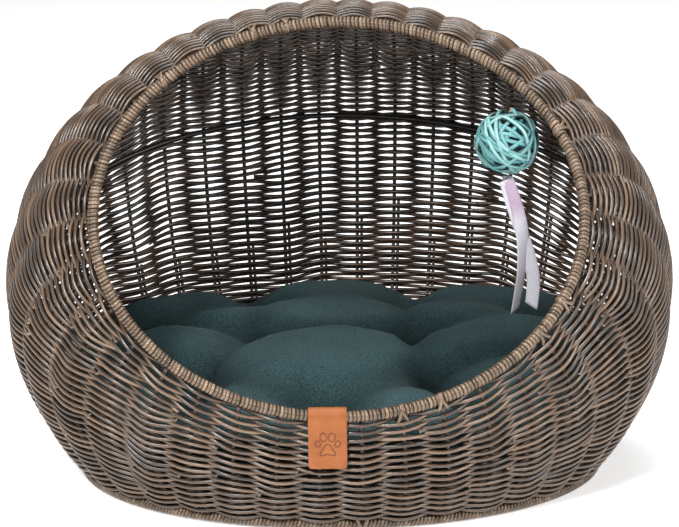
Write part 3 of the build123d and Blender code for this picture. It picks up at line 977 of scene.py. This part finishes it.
def ribbon(name, route, twist, tone, slant):
    """A thin satin band along the route, turned by the twist angles from its top to its bottom."""
    curve, line = nurbs_line(name + "_line", route)
    bpy.data.objects.remove(curve)
    path = line / MM
    tangent = unit_rows(np.gradient(path, axis=0))
    share = np.linspace(0, 1, len(path))
    angle = np.interp(share, np.linspace(0, 1, len(twist)), np.radians(twist))[:, None]
    across = unit_rows(np.cross(tangent, repeated(FORWARD, len(path))))
    wide = across * np.cos(angle) + np.cross(across, tangent) * np.sin(angle)
    face = np.cross(wide, tangent)
    half_width = RIBBON_HALF_WIDTH * np.interp(share, [0, 0.1, 1], [0.92, 0.97, 1.0])
    columns = np.linspace(-1, 1, RIBBON_COLUMNS)
    side = np.concatenate([columns, columns[::-1]])
    lift = np.repeat([RIBBON_HALF_THICKNESS, -RIBBON_HALF_THICKNESS], RIBBON_COLUMNS)
    lift -= RIBBON_BOW * side ** 2
    slip = slant * np.maximum(0.0, share - 0.9)[:, None] * 10 * side
    wide = wide * half_width[:, None]
    rings = (path[:, None] + wide[:, None] * side[:, None] + face[:, None] * lift[:, None]
             + tangent[:, None] * slip[:, :, None])
    grain = np.zeros_like(rings)
    grain[:, :, 0] = 2.0 * side
    grain[:, :, 2] = run_along(path)[:, None] * LENGTHWISE_GRAIN
    sides = len(side)
    last = (len(path) - 1) * sides
    ends = []
    for k in range(RIBBON_COLUMNS - 1):
        ends.append((k, sides - 1 - k, sides - 2 - k, k + 1))
        ends.append((last + k, last + k + 1, last + sides - 2 - k, last + sides - 1 - k))
    mesh = StrandMesh()
    mesh.points = [rings.reshape(-1, 3)]
    mesh.grain = [grain.reshape(-1, 3)]
    tones = np.interp(share, [0, 0.18, 0.32, 1], [tone, tone, WHITE_TONE, WHITE_TONE])
    mesh.tone = [np.repeat(tones, sides)]
    mesh.tip = [np.zeros(len(path) * sides)]
    mesh.faces = [tube_faces(len(path), sides), np.array(ends)]
    return mesh.build(name), line


def knot(name, centre, size, thread_radius, tone):
    """A small overhand knot."""
    t = turn_angles(64)
    loop = [np.sin(t) + 2 * np.sin(2 * t), -np.sin(3 * t), 1.2 * (np.cos(t) - 2 * np.cos(2 * t))]
    loop = np.stack(loop, axis=-1) * size / 3.0
    mesh = StrandMesh()
    mesh.add(np.array(centre) + loop, unit_rows(loop), thread_radius, closed=True, tone=tone)
    return mesh.build(name)


def tie_loop():
    """The thread's loop round a strand of the roof, over the toy's knot."""
    t = turn_angles(24)
    x, y, z = TOY_PIVOT
    line = np.stack([x + 3.0 * np.sin(t), np.full_like(t, y), z + 3.6 + 3.2 * np.cos(t)], axis=-1)
    mesh = StrandMesh()
    mesh.add(line, repeated([0.0, 1.0, 0.0], len(t)), 0.5, sides=6, closed=True)
    return mesh.build("toy_tie_thread")


ball = dress(wound_ball(), BALL, "toy_ball")
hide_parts("toy_ball")

cord, cord_line = nurbs_line("toy_cord_thread", CORD_ROUTE)
cord.data.bevel_depth = 0.6 * MM
cord.data.bevel_resolution = 3
cord.data.use_fill_caps = True
dress(cord, THREAD, "toy_ball")
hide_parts("toy_cord")

hanger = dress(knot("toy_hanger_loop", TOY_PIVOT, 1.5, 0.55, 0.5), THREAD, "toy_hanger")
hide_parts("toy_hanger_knot")
dress(tie_loop(), THREAD, "basket")
bow = knot("ribbon_overhand", (121.5, -52.0, 234.5), 2.4, 1.1, WHITE_TONE)
dress(bow, SATIN, "ribbon_knot")
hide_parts("ribbon_knot")
band, _ = ribbon("ribbon_band", BAND_ROUTE, (0, 0), 0.9, 0.0)
dress(band, SATIN, "ribbon_knot")

for name, node, route, twist, tone, slant, length in (
        ("ribbon_left", "ribbon_tail_left", LEFT_TAIL_ROUTE, (-12, -8, 20, 45, 52), 1.0, 2.5, 0.099),
        ("ribbon_right", "ribbon_tail_right", RIGHT_TAIL_ROUTE, (8, 5, 0, -12, -20), 0.1, -2.0, 0.097)):
    tail, tail_line = ribbon(name, route, twist, tone, slant)
    dress(tail, SATIN, "ribbon_tails")
    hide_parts(node)


# ---- leather label
LABEL_X = -9.0
LABEL_HALF_WIDTH = 13.5
LABEL_LENGTH = 40.0
LABEL_BACK_LENGTH = 20.0
LABEL_THICKNESS = 1.4
LABEL_FOLD_RADIUS = 4.35
LABEL_FOOT_GAP = 2.2
LABEL_CORNER = 2.6
LABEL_BOW = 0.5
HALF_WALL = 3.5
PAW_HEIGHT = 15.8
GROOVE_WIDTH = 0.42
GROOVE_DEPTH = 0.5
TOES = [(-6.8, 4.8, 1.8, 2.5, 20), (-2.95, 10.0, 2.3, 3.4, 5),
        (2.95, 9.8, 2.3, 3.4, -5), (6.9, 4.6, 1.8, 2.5, -20)]
PAD = [(0.0, 4.6), (1.6, 3.4), (3.4, 0.4), (5.3, -3.0), (4.7, -4.6), (3.0, -4.6),
       (0.0, -3.7), (-3.0, -4.6), (-4.7, -4.6), (-5.3, -3.0), (-3.4, 0.4), (-1.6, 3.4)]


def paw_outline():
    """Points along a plain paw print: four toes and a pad."""
    t = turn_angles(60)
    curves = []
    for x, y, wide, tall, lean in TOES:
        a = math.radians(lean)
        across, up = wide * np.cos(t), tall * np.sin(t)
        curves.append(np.stack([x + across * math.cos(a) - up * math.sin(a),
                                y + across * math.sin(a) + up * math.cos(a)], axis=-1))
    curves.append(smooth_through(np.array(PAD), 10, True))
    return np.vstack(curves)


def label_path():
    """The strip's inner face from its front foot, up, over the rim and down inside: points and normals."""
    inside = LABEL_FOLD_RADIUS
    angle = math.asin((LABEL_X - LABEL_HALF_WIDTH) / RIM.half_width)
    rim_y, rim_z = RIM.points(np.array([angle]))[0][1:]
    foot_z = rim_z - LABEL_LENGTH
    rise = (foot_z - BODY_CENTRE[2]) / (BODY[2] + HALF_WALL)
    foot_y = -(BODY[1] + HALF_WALL) * math.sqrt(1 - rise ** 2) - LABEL_FOOT_GAP
    lean = math.atan2(foot_y - (rim_y - inside), rim_z - foot_z)
    front = np.linspace(0, 1, 124)[:-1, None]
    front = (1 - front) * np.array([foot_y, foot_z]) + front * np.array([rim_y - inside, rim_z])
    turn = np.linspace(math.pi, 0, 24)[:, None]
    fold = np.array([rim_y, rim_z]) + inside * np.hstack([np.cos(turn), np.sin(turn)])
    down = np.linspace(0, 1, 30)[1:, None]
    back = fold[-1] + down * np.array([LABEL_BACK_LENGTH * math.sin(lean), -LABEL_BACK_LENGTH])
    path = np.vstack([front, fold, back])
    tangent = unit_rows(np.gradient(path, axis=0))
    normal = np.stack([-tangent[:, 1], tangent[:, 0]], axis=-1)
    return path, normal


def grid_faces(grid):
    return np.stack([grid[:-1, :-1], grid[:-1, 1:], grid[1:, 1:], grid[1:, :-1]], axis=-1).reshape(-1, 4)


def leather_strip():
    """The folded strip with round corners, thinned edges and the paw pressed into its front."""
    path, normal = label_path()
    run = run_along(path)
    end = np.minimum(run, run[-1] - run)
    cut_off = LABEL_CORNER - np.sqrt(np.maximum(0, LABEL_CORNER ** 2 - (LABEL_CORNER - end) ** 2))
    half = LABEL_HALF_WIDTH - np.where(end < LABEL_CORNER, cut_off, 0)
    columns = np.linspace(-1, 1, 76)
    x = columns[None, :] * half[:, None]
    edge = np.minimum(LABEL_HALF_WIDTH - np.abs(x), end[:, None])
    near = run < LABEL_LENGTH
    flat = np.stack([x[near], np.repeat(run[near][:, None], len(columns), axis=1)], axis=-1).reshape(-1, 2)
    outline = paw_outline() + [0.0, PAW_HEIGHT]
    distance = np.linalg.norm(flat[:, None, :] - outline[None], axis=2).min(axis=1)
    groove = np.zeros_like(x)
    groove[near] = np.exp(-(distance / GROOVE_WIDTH) ** 2).reshape(-1, len(columns))
    bow = LABEL_BOW * np.sin(math.pi * np.clip(run / LABEL_LENGTH, 0, 1))[:, None]
    outer = LABEL_THICKNESS - 0.45 * np.exp(-edge / 0.45) - GROOVE_DEPTH * groove + bow
    inner = bow + 0.25 * np.exp(-edge / 0.4)
    points = []
    for lift in (outer, inner):
        place = path[:, None] + normal[:, None] * lift[:, :, None]
        points.append(np.stack([LABEL_X + x, place[:, :, 0], place[:, :, 1]], axis=-1).reshape(-1, 3))
    grid = np.arange(x.size).reshape(x.shape)
    border = np.concatenate([grid[0, :], grid[1:, -1], grid[-1, -2::-1], grid[-2:0:-1, 0]])
    following = np.roll(border, -1)
    rim = np.stack([border, border + x.size, following + x.size, following], axis=-1)
    faces = np.vstack([grid_faces(grid), grid_faces(grid + x.size)[:, [0, 3, 2, 1]], rim])
    mesh = bpy.data.meshes.new("label_strip")
    mesh.from_pydata((np.vstack(points) * MM).tolist(), [], faces.tolist())
    shade_smooth(mesh)
    # The mask of the pressed grooves, which the leather darkens.
    dark = np.clip(groove, 0, 1).ravel()
    keep_values(mesh, "groove_darkening", np.concatenate([dark, np.zeros_like(dark)]))
    mesh.update()
    return new_piece("label_strip", mesh)


label = dress(leather_strip(), LEATHER, "basket")
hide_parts("leather_label")


# ---- studio and camera
FLOOR_REACH = 6.0
FLOOR_GAP = 0.0005


def studio_floor():
    mesh = bpy.data.meshes.new("studio_floor")
    corners = [(x * FLOOR_REACH, y * FLOOR_REACH, 0) for x, y in ((-1, -1), (1, -1), (1, 1), (-1, 1))]
    mesh.from_pydata(corners, [], [(0, 1, 2, 3)])
    floor = new_piece("studio_floor", mesh)
    floor.location.z = -FLOOR_GAP
    material, tree, shader = new_material("studio_floor")
    set_sockets(shader, {"Base Color": (0.93, 0.93, 0.93, 1.0), "Roughness": 0.9,
                         "Emission Color": (1.0, 1.0, 1.0, 1.0), "Emission Strength": 0.45})
    mesh.materials.append(material)


def studio_world():
    """A white backdrop that lights the object only softly."""
    world = bpy.data.worlds.new("studio")
    world.use_nodes = True
    tree = world.node_tree
    tree.nodes.clear()
    seen = add_node(tree, "ShaderNodeBackground", Color=(1.0, 1.0, 1.0, 1.0), Strength=1.0)
    lit = add_node(tree, "ShaderNodeBackground", Color=(1.0, 1.0, 1.0, 1.0), Strength=0.25)
    ray = add_node(tree, "ShaderNodeLightPath")
    choice = add_node(tree, "ShaderNodeMixShader")
    output = add_node(tree, "ShaderNodeOutputWorld")
    tree.links.new(ray.outputs["Is Camera Ray"], choice.inputs[0])
    tree.links.new(lit.outputs[0], choice.inputs[1])
    tree.links.new(seen.outputs[0], choice.inputs[2])
    tree.links.new(choice.outputs[0], output.inputs[0])
    bpy.context.scene.world = world
    bpy.context.scene.view_settings.view_transform = "Standard"


def softbox(name, place, aim, size, power):
    light = bpy.data.lights.new(name, "AREA")
    light.shape = "SQUARE"
    light.size = size
    light.energy = power
    lamp = new_piece(name, light)
    lamp.location = place
    lamp.rotation_euler = (Vector(aim) - Vector(place)).to_track_quat("-Z", "Y").to_euler()


def camera():
    data = bpy.data.cameras.new("camera")
    data.sensor_width = 36.0
    data.lens = 138.8
    data.shift_y = 0.0401
    eye = new_piece("camera", data)
    eye.location = (0.002, -1.890, 0.681)
    elevation, azimuth, roll = math.radians(16.06), math.radians(0.06), math.radians(-0.545)
    eye.rotation_euler = (Matrix.Rotation(azimuth, 3, "Z") @ Matrix.Rotation(math.pi / 2 - elevation, 3, "X")
                          @ Matrix.Rotation(roll, 3, "Z")).to_euler()
    data.clip_end = 50
    bpy.context.scene.camera = eye


studio_floor()
studio_world()
softbox("key", (-0.8, -1.7, 1.7), (0, 0, 0.15), 0.4, 48)
softbox("fill", (1.4, -1.4, 1.2), (0, 0, 0.15), 0.5, 22)
softbox("top", (0.1, 0.1, 2.2), (0, 0, 0.2), 1.1, 32)
camera()
